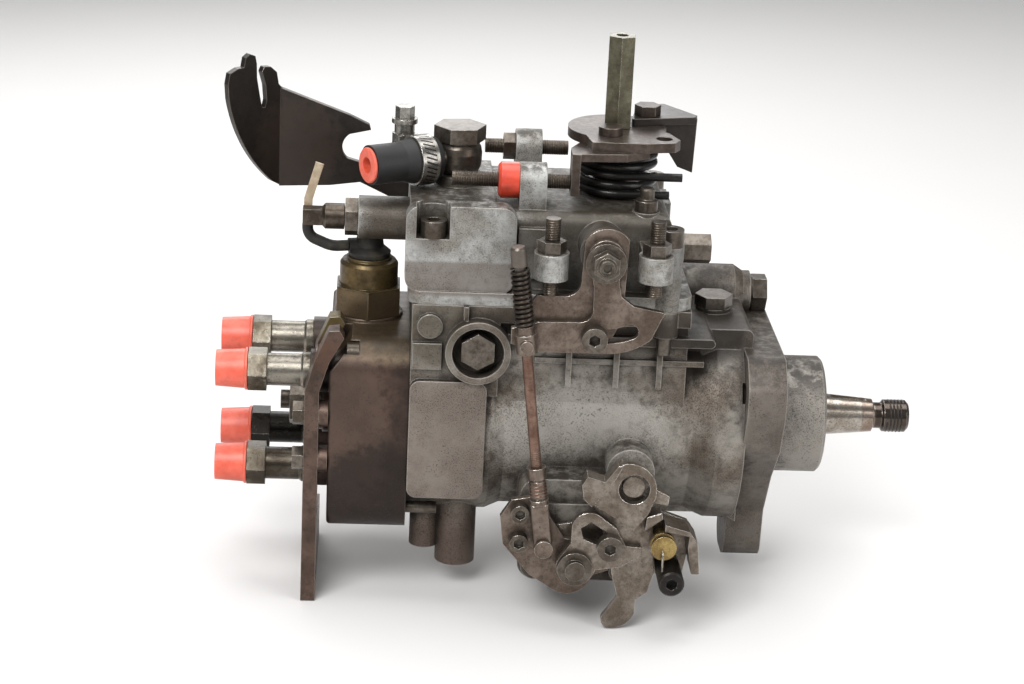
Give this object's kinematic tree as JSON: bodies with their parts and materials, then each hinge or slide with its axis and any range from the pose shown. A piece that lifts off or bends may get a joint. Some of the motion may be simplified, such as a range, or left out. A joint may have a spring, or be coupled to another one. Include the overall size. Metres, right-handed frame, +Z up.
{
  "type": "diesel injection pump",
  "caption": "Rotary diesel injection pump: flanged cast body, governor cover, outlet head with capped unions, sprung throttle lever, and a rod linking the idle and cold-start levers.",
  "frame": {"origin": "centre of the flange's mounting face, on the axis of the drive shaft", "axes": "+X out along the drive shaft, +Z up to the governor cover, -Y to the side with the idle and cold-start levers"},
  "size_m": [0.2974, 0.1392, 0.238],
  "materials": {
    "cast_body": "sand-cast, grimy",
    "cover_casting": "die-cast, matt",
    "head_steel": "browned steel",
    "bright_steel": "ground steel",
    "fastener_steel": "plated, aged",
    "lever_steel": "passivated sheet steel, aged",
    "union_steel": "oily steel",
    "solenoid_shell": "dull olive plating",
    "brass": "polished",
    "bracket_steel": "rusty",
    "fin_steel": "dark, oily",
    "spring_steel": "black, oiled",
    "clamp_steel": "bright band",
    "black_rubber": "smooth",
    "cap_plastic": "soft, slightly translucent",
    "red_plastic": "smooth",
    "pale_plastic": "matt"
  },
  "bodies": {
    "housing": {"adjusting_screws": "fastener_steel", "bracket_bolts": "fastener_steel", "brass_stop": "brass", "cam_ring": "bright_steel", "casing_screws": "fastener_steel", "cold_base": "lever_steel", "distributor_head": "head_steel", "fin_bracket": "fin_steel", "governor_cover": "cover_casting", "governor_shaft": "bright_steel", "hex_plugs": "fastener_steel", "hose_clamp": "clamp_steel", "hose_plug": "cap_plastic", "inlet_union": "fastener_steel", "lead_strip": "pale_plastic", "link_pivot": "bright_steel", "lock_nuts": "fastener_steel", "pivot_bolts": "fastener_steel", "port_caps": "cap_plastic", "pump_housing": "cast_body", "rear_bracket": "bracket_steel", "return_banjo": "fastener_steel", "return_bolt": "fastener_steel", "return_hose": "black_rubber", "seal_collar": "red_plastic", "solenoid_boot": "black_rubber", "solenoid_lead": "black_rubber", "spring_post": "fastener_steel", "stop_pin": "fastener_steel", "stop_solenoid": "solenoid_shell", "throttle_spring": "spring_steel", "timing_covers": "cast_body", "valve_holders": "union_steel"},
    "drive": {"drive_shaft": "bright_steel", "drive_gear": "bright_steel", "pump_rotor": "bright_steel", "cam_plate": "bright_steel", "plunger": "bright_steel"},
    "governor": {"governor_cage": "bright_steel"},
    "timing_ring": {"roller_ring": "bright_steel"},
    "advance": {"timing_piston": "bright_steel"},
    "governor_arm": {"governor_lever": "bright_steel"},
    "collar": {"control_collar": "bright_steel"},
    "throttle": {"throttle_shaft": "bright_steel", "throttle_lever": "lever_steel", "throttle_bracket": "fin_steel", "hex_spacer": "lever_steel", "throttle_bolts": "fastener_steel"},
    "idle": {"idle_lever": "lever_steel", "idle_fan": "lever_steel", "idle_fasteners": "fastener_steel"},
    "link": {"link_lever": "lever_steel", "clamp_plate": "lever_steel", "lever_screws": "fastener_steel"},
    "cold": {"cold_shaft": "bright_steel", "cold_lever": "lever_steel"},
    "rod": {"link_rod": "lever_steel", "link_spring": "spring_steel", "rod_fittings": "lever_steel"}
  },
  "joints": [
    {"name": "drive_turn", "type": "hinge", "parent": "housing", "child": "drive", "pos_m": [0, 0, 0], "axis": [1, 0, 0], "continuous": true},
    {"name": "governor_turn", "type": "hinge", "parent": "housing", "child": "governor", "pos_m": [-0.06, 0, 0.0495], "axis": [1, 0, 0], "continuous": true},
    {"name": "timing_turn", "type": "hinge", "parent": "housing", "child": "timing_ring", "pos_m": [-0.084, 0, 0], "axis": [1, 0, 0], "range_deg": [0, 11], "stiffness_Nm_per_rad": 1, "springref_deg": -11.46},
    {"name": "advance_slide", "type": "slide", "parent": "housing", "child": "advance", "axis": [0, 1, 0], "range_m": [0, 0.0084]},
    {"name": "governor_swing", "type": "hinge", "parent": "housing", "child": "governor_arm", "pos_m": [-0.1278, 0, 0.0405], "axis": [0, 1, 0], "range_deg": [-3, 3], "stiffness_Nm_per_rad": 2},
    {"name": "collar_slide", "type": "slide", "parent": "housing", "child": "collar", "axis": [1, 0, 0], "range_m": [-0.00152, 0.00152]},
    {"name": "throttle_swing", "type": "hinge", "parent": "housing", "child": "throttle", "pos_m": [-0.072, 0, 0.12], "axis": [0, 0, 1], "range_deg": [0, 35], "stiffness_Nm_per_rad": 0.8, "springref_deg": -22.92},
    {"name": "link_swing", "type": "hinge", "parent": "housing", "child": "link", "pos_m": [-0.0855, -0.064, -0.0434], "axis": [0, -1, 0], "range_deg": [0, 12], "stiffness_Nm_per_rad": 0.5, "springref_deg": -28.65},
    {"name": "idle_swing", "type": "hinge", "parent": "housing", "child": "idle", "pos_m": [-0.0792, -0.06, 0.085], "axis": [0, -1, 0], "range_deg": [0, 4.8]},
    {"name": "cold_swing", "type": "hinge", "parent": "housing", "child": "cold", "pos_m": [-0.063, -0.066, -0.008], "axis": [0, -1, 0], "range_deg": [-9.5, 0]},
    {"name": "rod_pin", "type": "hinge", "parent": "link", "child": "rod", "pos_m": [-0.0988, -0.0685, -0.0348], "axis": [0, -1, 0], "range_deg": [-14.9, 0]}
  ],
  "couplings": [
    {"joint": "governor_turn", "follows": "drive_turn", "ratio": -1.5385},
    {"joint": "advance_slide", "follows": "timing_turn", "m_per_rad": 0.0435},
    {"joint": "collar_slide", "follows": "governor_swing", "m_per_rad": -0.0285},
    {"joint": "idle_swing", "follows": "link_swing", "ratio": 0.4},
    {"joint": "cold_swing", "follows": "link_swing", "ratio": -0.79},
    {"joint": "rod_pin", "follows": "link_swing", "ratio": -1.24}
  ]
}
